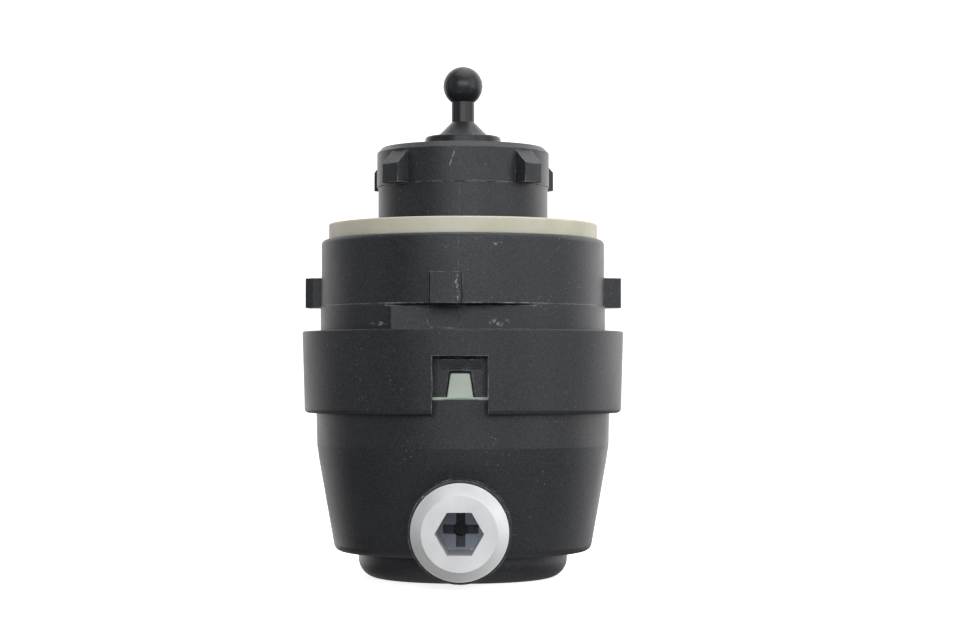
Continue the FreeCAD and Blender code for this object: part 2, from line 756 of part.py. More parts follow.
def detent_ring():
    """Ring on the sleeve's top that turns with the push rod and holds its setting."""
    seam = SLEEVE_Z[1] + 0.1
    top = SLEEVE_Z[1] + 2.1
    plug = disc(DETENT_SEAT_R - CLEAR, SLEEVE_Z[1] - 2.3, seam)
    body = plug.fuse(disc(SLEEVE_R, seam, top))
    flats = centred(2 * (ROD_FLAT_HALF + CLEAR), (-SHAFT_R, SHAFT_R), (ROD_FLATS_Z, top + OVERRUN))
    bore = disc(THREAD_R + CLEAR, ROD_FLATS_Z, top + OVERRUN).common(flats)
    slot = block((4.9, SLEEVE_R + OVERRUN), (-0.25, 0.25), (top - 0.9, top + OVERRUN))
    return body.cut([bore] + arranged(slot, evenly(DETENT_TEETH))).removeSplitter()


def wiper_spring():
    """Two spring fingers on the sleeve's rear ear that touch the resistance tracks."""
    z = SLEEVE_Z[0]
    back = EAR_Y[1]
    sheet = 0.3
    finger = 1.0
    tip_y = BOARD_Y[0] - TRACK_THICKNESS - CLEAR
    plate = centred(2.6, (back, back + sheet), (z - 1.0, z + SLEEVE_FOOT))
    outline = [
        (back, z - 1.0),
        (back + sheet, z - 0.9),
        (tip_y, z - 4.6),
        (tip_y, z - 5.4),
        (tip_y - sheet, z - 5.2),
    ]
    fingers = []
    for x in (-1.3, 0.3):
        fingers.append(prism([V(x, y, height) for y, height in outline], V(finger, 0, 0)))
    return plate.fuse(fingers).removeSplitter()


# ---- hand adjuster ----
def facing_front(solid):
    """A solid made about +Z from the origin, laid along -Y on the adjuster's axis."""
    solid.Placement = FreeCAD.Placement(V(0, 0, ADJUSTER_Z), FreeCAD.Rotation(UP, V(0, -1, 0)))
    return solid


def adjuster_sleeve():
    """White hand adjuster with a through hexagon and an O-ring groove."""
    rim_front, rim_back = ADJUSTER_RIM_Y
    groove_r = ADJUSTER_SHAFT_R - 2 * O_RING_R
    groove_half = 0.8
    profile = [
        (0, ADJUSTER_FACE_Y),
        (ADJUSTER_FACE_R, ADJUSTER_FACE_Y),
        (ADJUSTER_FLANGE_R - 0.2, rim_front - 0.2),
        (ADJUSTER_FLANGE_R, rim_front),
        (ADJUSTER_FLANGE_R, rim_back),
        (ADJUSTER_SHAFT_R, rim_back),
        (ADJUSTER_SHAFT_R, O_RING_Y - groove_half),
        (groove_r, O_RING_Y - groove_half),
        (groove_r, O_RING_Y + groove_half),
        (ADJUSTER_SHAFT_R, O_RING_Y + groove_half),
        (ADJUSTER_SHAFT_R, BOSS_BACK_Y),
        (0, BOSS_BACK_Y),
    ]
    body = facing_front(revolved([(r, -y) for r, y in profile]))
    start = V(0, ADJUSTER_FACE_Y - OVERRUN, ADJUSTER_Z)
    drive = hexagon_prism(HEX_ACROSS_FLATS, start, V(0, 1, 0), HEX_END_Y - start.y)
    tail = rod_y(CORE_R + 0.02, HEX_END_Y - 0.1, BOSS_BACK_Y + OVERRUN, ADJUSTER_Z)
    return body.cut([drive, tail]).removeSplitter()


def adjuster_o_ring():
    """O-ring in the adjuster's groove."""
    middle_r = ADJUSTER_SHAFT_R - O_RING_R + 0.01
    return Part.makeTorus(middle_r, O_RING_R, V(0, O_RING_Y, ADJUSTER_Z), V(0, 1, 0))


def adjuster_pinion():
    """Dark core of the adjuster with a cross recess in front and a bevel pinion behind."""
    gear = facing_front(bevel_gear(BEVEL_TEETH[0], BEVEL_TEETH[1], 90.0))
    core = rod_y(CORE_R, HEX_END_Y, BOSS_BACK_Y + 0.4, ADJUSTER_Z)
    collar = rod_y(7.4, BOSS_BACK_Y + 0.3, BOSS_BACK_Y + 1.5, ADJUSTER_Z)
    shaft = rod_y(3.2, BOSS_BACK_Y + 1.0, -7.6, ADJUSTER_Z)
    pinion = gear.fuse([core, collar, shaft])
    hole = rod_y(CORE_HOLE_R, HEX_END_Y - OVERRUN, HEX_END_Y + 5.0, ADJUSTER_Z)
    depth = (HEX_END_Y - OVERRUN, HEX_END_Y + CROSS_DEPTH)
    arm = (-CROSS_HALF, CROSS_HALF)
    flat = block((-CROSS_SPAN, CROSS_SPAN), depth, [ADJUSTER_Z + z for z in arm])
    upright = block(arm, depth, (ADJUSTER_Z - CROSS_SPAN, ADJUSTER_Z + CROSS_SPAN))
    return pinion.cut([hole, flat, upright]).removeSplitter()


def crown_gear():
    """Bevel wheel that stands on the pivot pin and carries the hex drive rod."""
    gear = bevel_gear(BEVEL_TEETH[1], BEVEL_TEETH[0], -90.0 + 180.0 / BEVEL_TEETH[1])
    gear.translate(V(0, 0, ADJUSTER_Z))
    back_z = 16.6
    plate_z = 18.2
    top_z = 23.5
    gear = gear.fuse([disc(6.9, back_z, plate_z), disc(4.0, plate_z - 0.2, top_z)])
    pin_hole = disc(PIVOT_R + CLEAR, 10.0, PIVOT_Z[1] + 0.4)
    drive = hexagon_prism(DRIVE_FLATS, V(0, 0, DRIVE_Z[0]), UP, 10.0)
    return gear.cut([pin_hole, drive]).removeSplitter()


def drive_pivot_pin():
    """Steel pin in the pot floor that the crown gear turns on."""
    collar = disc(2.6, 13.2, 14.7)
    return disc(PIVOT_R, *PIVOT_Z).fuse(collar).removeSplitter()


# ---- gear train ----
def motor_pinion():
    """Pinion on the motor shaft."""
    tooth, _ = mesh_angles(0, MOTOR_AT, FIRST_AT)
    gear = spur_gear(PINION_TEETH[0], STAGE_MODULES[0], *LEVEL_ONE, MOTOR_AT, tooth)
    return gear.cut(disc(MOTOR_SHAFT_R, CHASSIS_Z[0], COVER_Z[0], MOTOR_AT))


def double_gear(stage, levels, at, before, after):
    """Wheel of one stage with the next stage's pinion on top, for an axle between two others."""
    (low, high), top = levels
    _, wheel_tooth = mesh_angles(stage, before, at)
    pinion_tooth, _ = mesh_angles(stage + 1, at, after)
    wheel = spur_gear(WHEEL_TEETH[stage], STAGE_MODULES[stage], low, high, at, wheel_tooth)
    count = PINION_TEETH[stage + 1]
    module = STAGE_MODULES[stage + 1]
    pinion = spur_gear(count, module, high - 0.1, top, at, pinion_tooth)
    return wheel, pinion


def bored(solid, at):
    """A gear with its running bore on an axle."""
    return solid.cut(disc(AXLE_R + CLEAR, CHASSIS_Z[0], AXLE_Z[1] + OVERRUN, at)).removeSplitter()


WEB_SINK = 0.7
END_GAP = 0.3


def first_gear():
    """First double gear: wheel below, pinion above."""
    high = LEVEL_ONE[1]
    pinion_top = 43.5
    wheel, pinion = double_gear(0, (LEVEL_ONE, pinion_top), FIRST_AT, MOTOR_AT, SECOND_AT)
    hub = disc(1.9, pinion_top - 0.1, COVER_Z[0] - END_GAP, FIRST_AT)
    web = ring(7.2, 4.6, high - WEB_SINK, high + OVERRUN, FIRST_AT)
    return bored(wheel.cut(web).fuse([pinion, hub]), FIRST_AT)


def second_gear():
    """Second double gear: wheel below, pinion above."""
    low = LEVEL_TWO[0]
    wheel, pinion = double_gear(1, (LEVEL_TWO, COVER_Z[0] - END_GAP), SECOND_AT, FIRST_AT, V())
    hub = disc(2.2, CHASSIS_Z[1] + END_GAP, low + 0.1, SECOND_AT)
    web = ring(7.6, 5.0, low - OVERRUN, low + WEB_SINK, SECOND_AT)
    return bored(wheel.cut(web).fuse([pinion, hub]), SECOND_AT)


def nut_gear():
    """Large wheel on the sleeve: its bore is the nut of the lifting thread."""
    low, high = LEVEL_THREE
    sink = 1.2
    _, tooth = mesh_angles(2, SECOND_AT, V())
    gear = spur_gear(WHEEL_TEETH[2], STAGE_MODULES[2], low, high, V(), tooth)
    for z0, z1 in ((high - sink, high + OVERRUN), (low - OVERRUN, low + sink)):
        gear = gear.cut(ring(11.6, 9.2, z0, z1))
    return gear.cut(disc(SLEEVE_R + CLEAR, low - OVERRUN, high + OVERRUN)).removeSplitter()


def thrust_washers():
    """Steel washers under and over the nut gear."""
    thickness = 0.35
    gap = 0.05
    low, high = LEVEL_THREE
    under = ring(8.6, 5.9, low - gap - thickness, low - gap)
    over = ring(8.8, 6.3, high + gap, high + gap + thickness)
    return Part.makeCompound([under, over])


def gear_axles():
    """Steel axles of the two double gears."""
    return Part.makeCompound([disc(AXLE_R, *AXLE_Z, at) for at in (FIRST_AT, SECOND_AT)])


# ---- chassis ----
RAIL_X = (1.65, 4.0)
RAIL_Y = (8.6, 13.0)
RAIL_FOOT_Z = 23.5


def chassis_plate():
    """Plate that carries the gear train above and grips the motor and the sleeve's guides below."""
    low, high = CHASSIS_Z
    cover_places = [polar(COVER_POST_AT_R, a) for a in COVER_POSTS]
    screw_places = [polar(CHASSIS_SCREW_AT_R, a) for a in CHASSIS_SCREWS]
    plate = disc(POT_R - WALL - 0.5, low, high)
    cup = ring(MOTOR_R + 1.3, MOTOR_R + 0.05, 30.0, low + 0.1, MOTOR_AT)
    tube = disc(7.1, high - 0.1, LEVEL_THREE[0] - 0.4)
    posts = at_each(cover_places, lambda at: disc(2.5, high - 0.1, COVER_Z[0], at))
    rails = []
    for side_x in (-1, 1):
        for side_y in (-1, 1):
            x = sorted(side_x * edge for edge in RAIL_X)
            y = sorted(side_y * edge for edge in RAIL_Y)
            rails.append(block(x, y, (RAIL_FOOT_Z, low + 0.1)))
    plate = plate.fuse([cup, tube] + posts + rails)
    through = (low - OVERRUN, high + OVERRUN)
    holes = [disc(SLEEVE_R + 0.3, *SLEEVE_Z), disc(2.3, *through, MOTOR_AT)]
    holes += [disc(AXLE_R, *through, at) for at in (FIRST_AT, SECOND_AT)]
    holes += at_each(screw_places, lambda at: disc(CHASSIS_SCREW_R + 0.1, *through, at))
    holes += at_each(cover_places, lambda at: disc(COVER_SCREW_R, 42.0, COVER_Z[1], at))
    return plate.cut(holes).removeSplitter()


def gear_cover():
    """Plate that holds the tops of the gear axles."""
    low, high = COVER_Z
    through = (low - OVERRUN, high + OVERRUN)
    holes = [disc(SLEEVE_R + 0.7, *through)]
    holes += [disc(AXLE_R, *through, at) for at in (FIRST_AT, SECOND_AT)]
    holes += [disc(COVER_SCREW_R + 0.2, *through, polar(COVER_POST_AT_R, a)) for a in COVER_POSTS]
    return disc(COVER_R, low, high).cut(holes).removeSplitter()


def screw(head, shank_r, top_z, length, at):
    """Pan-head screw with a cross recess, standing head up."""
    head_r, head_h = head
    shank = disc(shank_r, top_z - length, top_z, at)
    body = disc(head_r, top_z, top_z + head_h, at).fuse(shank)
    recess_z = top_z + head_h * 0.45
    reach = head_r * 0.62
    half = 0.3
    for across, along in ((reach, half), (half, reach)):
        x = (at.x - across, at.x + across)
        y = (at.y - along, at.y + along)
        body = body.cut(block(x, y, (recess_z, top_z + head_h + OVERRUN)))
    return body.removeSplitter()


def chassis_screws():
    """Screws that hold the chassis plate in the pot."""
    places = [polar(CHASSIS_SCREW_AT_R, a) for a in CHASSIS_SCREWS]
    head = (2.2, 1.3)
    return Part.makeCompound([screw(head, CHASSIS_SCREW_R, CHASSIS_Z[1], 8.0, at) for at in places])


def cover_screws():
    """Screws that hold the gear cover on its posts."""
    places = [polar(COVER_POST_AT_R, a) for a in COVER_POSTS]
    head = (1.9, 1.1)
    return Part.makeCompound([screw(head, COVER_SCREW_R, COVER_Z[1], 7.0, at) for at in places])


# ---- motor ----
CAP_HEIGHT = 1.2
MAGNET_R = (5.75, MOTOR_R - MOTOR_SHEET - 0.02)
MAGNET_Z = (14.0, 28.0)
SHOE_R = (4.65, 5.4)
COMMUTATOR_Z = (10.9, 13.6)


def at_motor(solid):
    """A solid made about Z, moved to the motor's axis."""
    solid.translate(MOTOR_AT)
    return solid


def motor_can():
    """Drawn steel motor can."""
    low, high = MOTOR_Z
    can = disc(MOTOR_R, low + CAP_HEIGHT, high, MOTOR_AT)
    hollow = disc(MOTOR_R - MOTOR_SHEET, low, high - 0.8, MOTOR_AT)
    return can.cut([hollow, disc(MOTOR_BUSH_R, low, high + OVERRUN, MOTOR_AT)])


def motor_end_cap():
    """Moulded cap that closes the motor can."""
    low = MOTOR_Z[0]
    flange = disc(MOTOR_R - 0.05, low, low + CAP_HEIGHT, MOTOR_AT)
    plug = disc(MOTOR_R - MOTOR_SHEET - 0.05, low + CAP_HEIGHT - 0.1, low + 2.2, MOTOR_AT)
    hole = disc(MOTOR_BUSH_R, low - OVERRUN, low + 4.0, MOTOR_AT)
    return flange.fuse(plug).cut(hole).removeSplitter()


def motor_bearings():
    """Sintered bushes of the motor shaft."""
    low, high = MOTOR_Z
    bore = MOTOR_SHAFT_R + CLEAR
    lower = ring(MOTOR_BUSH_R, bore, low + 0.1, low + 2.2, MOTOR_AT)
    upper = ring(MOTOR_BUSH_R, bore, high - 1.6, high + 1.4, MOTOR_AT)
    return Part.makeCompound([lower, upper])


def motor_magnets():
    """Two curved magnets inside the can."""
    inner, outer = MAGNET_R
    magnet = sector(outer, inner, *MAGNET_Z, 0, 118.0)
    return Part.makeCompound([at_motor(turned(magnet, middle)) for middle in (90.0, 270.0)])


def motor_shaft():
    """Steel motor shaft."""
    return disc(MOTOR_SHAFT_R, MOTOR_Z[0] - 0.2, LEVEL_ONE[1] + 0.3, MOTOR_AT)


def armature_core():
    """Laminated core with three poles."""
    low, high = CORE_Z
    hub = disc(2.2, low, high)
    webs = arranged(block((1.0, 4.9), (-0.8, 0.8), CORE_Z), evenly(3))
    shoes = arranged(sector(SHOE_R[1], SHOE_R[0], low, high, 0, 96.0), evenly(3))
    bore = disc(MOTOR_SHAFT_R, low - OVERRUN, high + OVERRUN)
    return at_motor(hub.fuse(webs + shoes).cut(bore).removeSplitter())


def armature_windings():
    """Copper coils round the three poles."""
    low, high = CORE_Z
    overhang = 0.9
    half = 2.3
    coil = block((2.45, 4.0), (-half, half), (low - overhang, high + overhang))
    coil = coil.cut(block((2.0, 5.0), (-0.82, 0.82), (low - 0.05, high + 0.05)))
    corners = [e for e in coil.Edges if e.Length < 1.7 and abs(e.CenterOfMass.y) > half - 0.1]
    coil = coil.makeFillet(0.4, corners)
    return Part.makeCompound([at_motor(turned(coil, angle)) for angle in evenly(3)])


def commutator():
    """Commutator with three slots."""
    low, high = COMMUTATOR_Z
    body = ring(MOTOR_BUSH_R, MOTOR_SHAFT_R, low, high)
    slot = block((1.5, 2.5), (-0.15, 0.15), (low - OVERRUN, high + OVERRUN))
    return at_motor(body.cut(arranged(slot, evenly(3))))


def motor_brushes():
    """Two carbon brushes on the commutator."""
    brush = block((MOTOR_BUSH_R + CLEAR, 4.4), (-0.8, 0.8), (11.4, 13.0))
    return Part.makeCompound([at_motor(turned(brush, angle)) for angle in (90.0, 270.0)])


def motor_terminals():
    """Two flat terminals under the end cap."""
    low = MOTOR_Z[0]
    half = 0.9
    z = (low - 0.4, low)
    places = (MOTOR_AT.x - 3.0, MOTOR_AT.x + 3.0)
    return Part.makeCompound([block((x - half, x + half), (3.0, 10.5), z) for x in places])


# ---- electronics ----
TRACK_THICKNESS = 0.1


def connector_pins():
    """Three blade pins from the circuit board into the rear socket."""
    half_width, half_height = (size / 2 for size in PIN_SIZE)
    y = (BOARD_Y[0] - 0.6, PIN_END_Y)
    z = (PIN_Z - half_height, PIN_Z + half_height)
    return Part.makeCompound([block((x - half_width, x + half_width), y, z) for x in PIN_XS])


def circuit_board():
    """Upright circuit board behind the sleeve."""
    return centred(2 * BOARD_HALF, BOARD_Y, BOARD_Z).cut(connector_pins())


def driver_chip():
    """Motor driver chip with two rows of legs."""
    front = BOARD_Y[0]
    body = block((-12.0, -8.2), (front - 1.7, front - 0.1), (12.0, 20.0))
    leg_count = 6
    leg_pitch = 1.27
    first_z = 12.7
    legs = []
    for k in range(leg_count):
        z = first_z + leg_pitch * k
        legs.append(block((-12.9, -7.3), (front - 0.4, front), (z - 0.2, z + 0.2)))
    return body.fuse(legs).removeSplitter()


def board_components():
    """Capacitors and resistors on the circuit board."""
    front = BOARD_Y[0]
    capacitors = [block((x, x + 1.6), (front - 0.8, front), (24.5, 27.5)) for x in (-12.0, -9.4, -6.8)]
    can = rod_y(2.2, front - 5.0, front, 28.0, 9.5)
    resistors = [block((8.0, 11.0), (front - 1.2, front), (z, z + 1.8)) for z in (17.0, 20.5)]
    return Part.makeCompound(capacitors + [can] + resistors)


def resistance_tracks():
    """Two printed resistance tracks that the wiper runs on."""
    y = (BOARD_Y[0] - TRACK_THICKNESS, BOARD_Y[0])
    return Part.makeCompound([block((x, x + 1.4), y, (17.5, 30.5)) for x in (-1.5, 0.1)])


NODES = (
    upper_housing, pot_housing, housing_gasket, mount_seal_ring, guide_bush, rod_lip_seal,
    push_rod, hex_drive_rod, lift_sleeve, detent_ring, wiper_spring,
    adjuster_sleeve, adjuster_o_ring, adjuster_pinion, crown_gear, drive_pivot_pin,
    motor_pinion, first_gear, second_gear, nut_gear, thrust_washers, gear_axles,
    chassis_plate, gear_cover, chassis_screws, cover_screws,
    motor_can, motor_end_cap, motor_bearings, motor_magnets, motor_shaft,
    armature_core, armature_windings, commutator, motor_brushes, motor_terminals,
    connector_pins, circuit_board, driver_chip, board_components, resistance_tracks,
)

os.makedirs("parts", exist_ok=True)
for make in NODES:
    make().exportStep(f"parts/{make.__name__}.step")
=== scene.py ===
"""Looks of the headlamp levelling actuator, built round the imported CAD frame. Units are metres."""
import json
import math

import bpy
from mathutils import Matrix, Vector


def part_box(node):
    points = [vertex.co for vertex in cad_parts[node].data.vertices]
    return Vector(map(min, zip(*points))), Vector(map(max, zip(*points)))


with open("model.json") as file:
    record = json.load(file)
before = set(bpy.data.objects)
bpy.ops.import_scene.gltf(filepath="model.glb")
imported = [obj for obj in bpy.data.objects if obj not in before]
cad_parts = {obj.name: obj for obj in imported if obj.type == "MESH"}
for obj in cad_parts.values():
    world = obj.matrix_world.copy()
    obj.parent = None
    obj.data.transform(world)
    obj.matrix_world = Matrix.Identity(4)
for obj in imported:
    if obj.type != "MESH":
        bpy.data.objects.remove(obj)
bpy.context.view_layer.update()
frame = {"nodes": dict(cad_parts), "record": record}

MM = 0.001
NODES = frame["nodes"]
MOUNTS = {mount["name"]: mount for mount in frame["record"]["mounts"]}
LUG_FOOT_Z = MOUNTS["body_bayonet"]["pos_m"][2]
BODY_R = MOUNTS["body_bayonet"]["dims"]["r_mm"] * MM
NECK_STEP_Z = MOUNTS["neck_bayonet"]["pos_m"][2]
NECK_R = MOUNTS["neck_bayonet"]["dims"]["r_mm"] * MM


# ---- camera, light and floor ----
CAMERA_DISTANCE = 480 * MM
CAMERA_X = 3.55 * MM
VIEW_TURN = math.radians(0.6)
EYE_Z = 41.8 * MM
PITCH_UP = math.radians(1.38)
LENS_MM = 86.4
SENSOR_MM = 36.0
LIGHT_TARGET = Vector((0.0, 0.0, 50 * MM))
LIGHT_COLOUR = (0.93, 0.965, 1.0)


def add_camera():
    """Camera a little below the object's middle, pitched up slightly and swung a little to the right."""
    data = bpy.data.cameras.new("camera")
    data.lens = LENS_MM
    data.sensor_width = SENSOR_MM
    data.clip_start = 10 * MM
    data.clip_end = 20.0
    camera = bpy.data.objects.new("camera", data)
    across = CAMERA_X * math.cos(VIEW_TURN) + CAMERA_DISTANCE * math.sin(VIEW_TURN)
    depth = CAMERA_X * math.sin(VIEW_TURN) - CAMERA_DISTANCE * math.cos(VIEW_TURN)
    camera.location = (across, depth, EYE_Z)
    camera.rotation_euler = (math.pi / 2 + PITCH_UP, 0, VIEW_TURN)
    bpy.context.scene.collection.objects.link(camera)
    bpy.context.scene.camera = camera


def add_area_light(name, place, width, height, power):
    """Soft cool-white rectangular light aimed at the object."""
    data = bpy.data.lights.new(name, "AREA")
    data.shape = "RECTANGLE"
    data.size = width
    data.size_y = height
    data.energy = power
    data.color = LIGHT_COLOUR
    light = bpy.data.objects.new(name, data)
    light.location = place
    aim = LIGHT_TARGET - Vector(place)
    light.rotation_euler = aim.to_track_quat("-Z", "Y").to_euler()
    bpy.context.scene.collection.objects.link(light)


def add_world(bright, dim, low, table):
    """White surround behind the object that dims to the front, left and ground.

    bright and dim are the levels behind and in front, low is the share left at the ground, and table
    is the level of the light that comes up from the table in front.
    """
    behind = (0.25, 0.95, 0.0)
    up = (0.0, 0.0, 1.0)
    below_front = (0.0, -0.5, -0.87)
    world = bpy.data.worlds.new("studio")
    world.use_nodes = True
    tree = world.node_tree
    background = tree.nodes["Background"]
    direction = tree.nodes.new("ShaderNodeTexCoord")

    def level(towards, reach, levels):
        """Brightness that changes smoothly along a direction."""
        along = tree.nodes.new("ShaderNodeVectorMath")
        along.operation = "DOT_PRODUCT"
        along.inputs[1].default_value = towards
        tree.links.new(direction.outputs["Generated"], along.inputs[0])
        change = tree.nodes.new("ShaderNodeMapRange")
        change.interpolation_type = "SMOOTHSTEP"
        change.inputs["From Min"].default_value = reach[0]
        change.inputs["From Max"].default_value = reach[1]
        change.inputs["To Min"].default_value = levels[0]
        change.inputs["To Max"].default_value = levels[1]
        tree.links.new(along.outputs["Value"], change.inputs["Value"])
        return change.outputs["Result"]

    both = tree.nodes.new("ShaderNodeMath")
    both.operation = "MULTIPLY_ADD"
    tree.links.new(level(behind, (-0.15, 0.78), (dim, bright)), both.inputs[0])
    tree.links.new(level(up, (-0.38, 0.0), (low, 1.0)), both.inputs[1])
    tree.links.new(level(below_front, (0.2, 1.0), (0.0, table)), both.inputs[2])
    tree.links.new(both.outputs["Value"], background.inputs["Strength"])
    background.inputs["Color"].default_value = (1, 1, 1, 1)
    bpy.context.scene.world = world
    bpy.context.scene.view_settings.view_transform = "Standard"


def add_floor():
    """Pale seamless floor that curves up into a backdrop. It doesn't bounce light onto the object."""
    half = 1.6
    back = 0.9
    front = -1.4
    bend = 0.25
    backdrop_top = 1.4
    steps = 12
    outline = [(front, 0.0)]
    for k in range(steps + 1):
        turn = math.pi / 2 * k / steps
        outline.append((back + bend * math.sin(turn), bend * (1 - math.cos(turn))))
    outline.append((back + bend, backdrop_top))
    points = []
    for y, z in outline:
        points += [(-half, y, z), (half, y, z)]
    faces = [(2 * k, 2 * k + 1, 2 * k + 3, 2 * k + 2) for k in range(len(outline) - 1)]
    mesh = bpy.data.meshes.new("floor")
    mesh.from_pydata(points, [], faces)
    for face in mesh.polygons:
        face.use_smooth = True
    floor = bpy.data.objects.new("floor", mesh)
    bpy.context.scene.collection.objects.link(floor)
    floor.data.materials.append(floor_material())
    floor.visible_diffuse = False
    floor.visible_glossy = False


# ---- material building blocks ----
class Recipe:
    """Small helper that builds one node material round a Principled shader."""

    def __init__(self, name):
        self.material = bpy.data.materials.new(name)
        self.material.use_nodes = True
        self.tree = self.material.node_tree
        self.shader = self.tree.nodes["Principled BSDF"]
        self.place = self.node("ShaderNodeTexCoord").outputs["Object"]

    def node(self, kind, **settings):
        made = self.tree.nodes.new(kind)
        for key, value in settings.items():
            setattr(made, key, value)
        return made

    def link(self, source, target):
        self.tree.links.new(source, target)

    def set(self, **values):
        """Uniform values straight on the shader's own sockets."""
        for key, value in values.items():
            self.shader.inputs[key.replace("_", " ")].default_value = value

    def stretched(self, scale):
        """Object coordinates scaled per axis."""
        mapping = self.node("ShaderNodeMapping")
        mapping.inputs["Scale"].default_value = scale
        self.link(self.place, mapping.inputs["Vector"])
        return mapping.outputs["Vector"]

    def noise(self, per_metre, detail=4.0, roughness=0.5, vector=None):
        made = self.node("ShaderNodeTexNoise")
        made.inputs["Scale"].default_value = per_metre
        made.inputs["Detail"].default_value = detail
        made.inputs["Roughness"].default_value = roughness
        self.link(vector or self.place, made.inputs["Vector"])
        return made.outputs["Fac"]

    def specks(self, per_metre, size):
        """1 inside small scattered dots, 0 elsewhere."""
        made = self.node("ShaderNodeTexVoronoi")
        made.inputs["Scale"].default_value = per_metre
        self.link(self.place, made.inputs["Vector"])
        return self.ramp(made.outputs["Distance"], size * 0.4, size, 1.0, 0.0)

    def ramp(self, value, low, high, out_low=0.0, out_high=1.0):
        made = self.node("ShaderNodeMapRange")
        made.interpolation_type = "SMOOTHSTEP"
        self.link(value, made.inputs["Value"])
        made.inputs["From Min"].default_value = low
        made.inputs["From Max"].default_value = high
        made.inputs["To Min"].default_value = out_low
        made.inputs["To Max"].default_value = out_high
        return made.outputs["Result"]

    def maths(self, operation, one, other):
        made = self.node("ShaderNodeMath", operation=operation)
        for socket, value in zip(made.inputs, (one, other)):
            if isinstance(value, (int, float)):
                socket.default_value = value
            else:
                self.link(value, socket)
        return made.outputs["Value"]

    def mix(self, factor, one, other):
        """Colour mix; one and other are sockets or RGB triples."""
        made = self.node("ShaderNodeMix", data_type="RGBA")
        self.link(factor, made.inputs["Factor"])
        for name, value in (("A", one), ("B", other)):
            socket = next(s for s in made.inputs if s.name == name and s.type == "RGBA")
            if isinstance(value, tuple):
                socket.default_value = (*value, 1.0)
            else:
                self.link(value, socket)
        return next(s for s in made.outputs if s.type == "RGBA")

    def spot(self, centre, half):
        """1 inside a small ellipsoid, fading out at its edge."""
        away = self.node("ShaderNodeVectorMath", operation="SUBTRACT")
        self.link(self.place, away.inputs[0])
        away.inputs[1].default_value = centre
        scaled = self.node("ShaderNodeVectorMath", operation="DIVIDE")
        self.link(away.outputs["Vector"], scaled.inputs[0])
        scaled.inputs[1].default_value = half
        reach = self.node("ShaderNodeVectorMath", operation="LENGTH")
        self.link(scaled.outputs["Vector"], reach.inputs[0])
        return self.ramp(reach.outputs["Value"], 0.5, 1.0, 1.0, 0.0)

    def highest(self, masks):
        """The largest of several masks."""
        total = masks[0]
        for mask in masks[1:]:
            total = self.maths("MAXIMUM", total, mask)
        return total

    def edges(self, radius):
        """1 on edges within a radius, 0 on smooth surface."""
        bevel = self.node("ShaderNodeBevel", samples=6)
        bevel.inputs["Radius"].default_value = radius
        geometry = self.node("ShaderNodeNewGeometry")
        dot = self.node("ShaderNodeVectorMath", operation="DOT_PRODUCT")
        self.link(bevel.outputs["Normal"], dot.inputs[0])
        self.link(geometry.outputs["Normal"], dot.inputs[1])
        return self.ramp(dot.outputs["Value"], 0.80, 0.985, 1.0, 0.0)

    def bump(self, *layers, rounding=0.0):
        """Stack of (height socket, depth in metres) bump layers over edges rounded by a radius."""
        normal = None
        if rounding:
            bevel = self.node("ShaderNodeBevel", samples=8)
            bevel.inputs["Radius"].default_value = rounding
            normal = bevel.outputs["Normal"]
        for height, depth in layers:
            made = self.node("ShaderNodeBump")
            made.inputs["Distance"].default_value = depth
            made.inputs["Strength"].default_value = 1.0
            self.link(height, made.inputs["Height"])
            if normal:
                self.link(normal, made.inputs["Normal"])
            normal = made.outputs["Normal"]
        self.link(normal, self.shader.inputs["Normal"])

    def colour(self, socket):
        self.link(socket, self.shader.inputs["Base Color"])

    def roughness(self, socket):
        self.link(socket, self.shader.inputs["Roughness"])


def floor_material():
    """Pale matt floor that glows evenly behind the near line and is darker in front of it."""
    near_line = (-0.22, -0.12)
    glow = 0.8
    recipe = Recipe("pale_floor")
    shade = recipe.noise(3.0, detail=2.0)
    split = recipe.node("ShaderNodeSeparateXYZ")
    recipe.link(recipe.place, split.inputs["Vector"])
    beyond = recipe.ramp(split.outputs["Y"], *near_line)
    pale = recipe.mix(shade, (0.90, 0.90, 0.90), (0.93, 0.93, 0.93))
    recipe.colour(recipe.mix(beyond, (0.25, 0.25, 0.25), pale))
    recipe.link(recipe.maths("MULTIPLY", beyond, glow), recipe.shader.inputs["Emission Strength"])
    recipe.set(Roughness=0.7, Emission_Color=(1, 1, 1, 1))
    return recipe.material


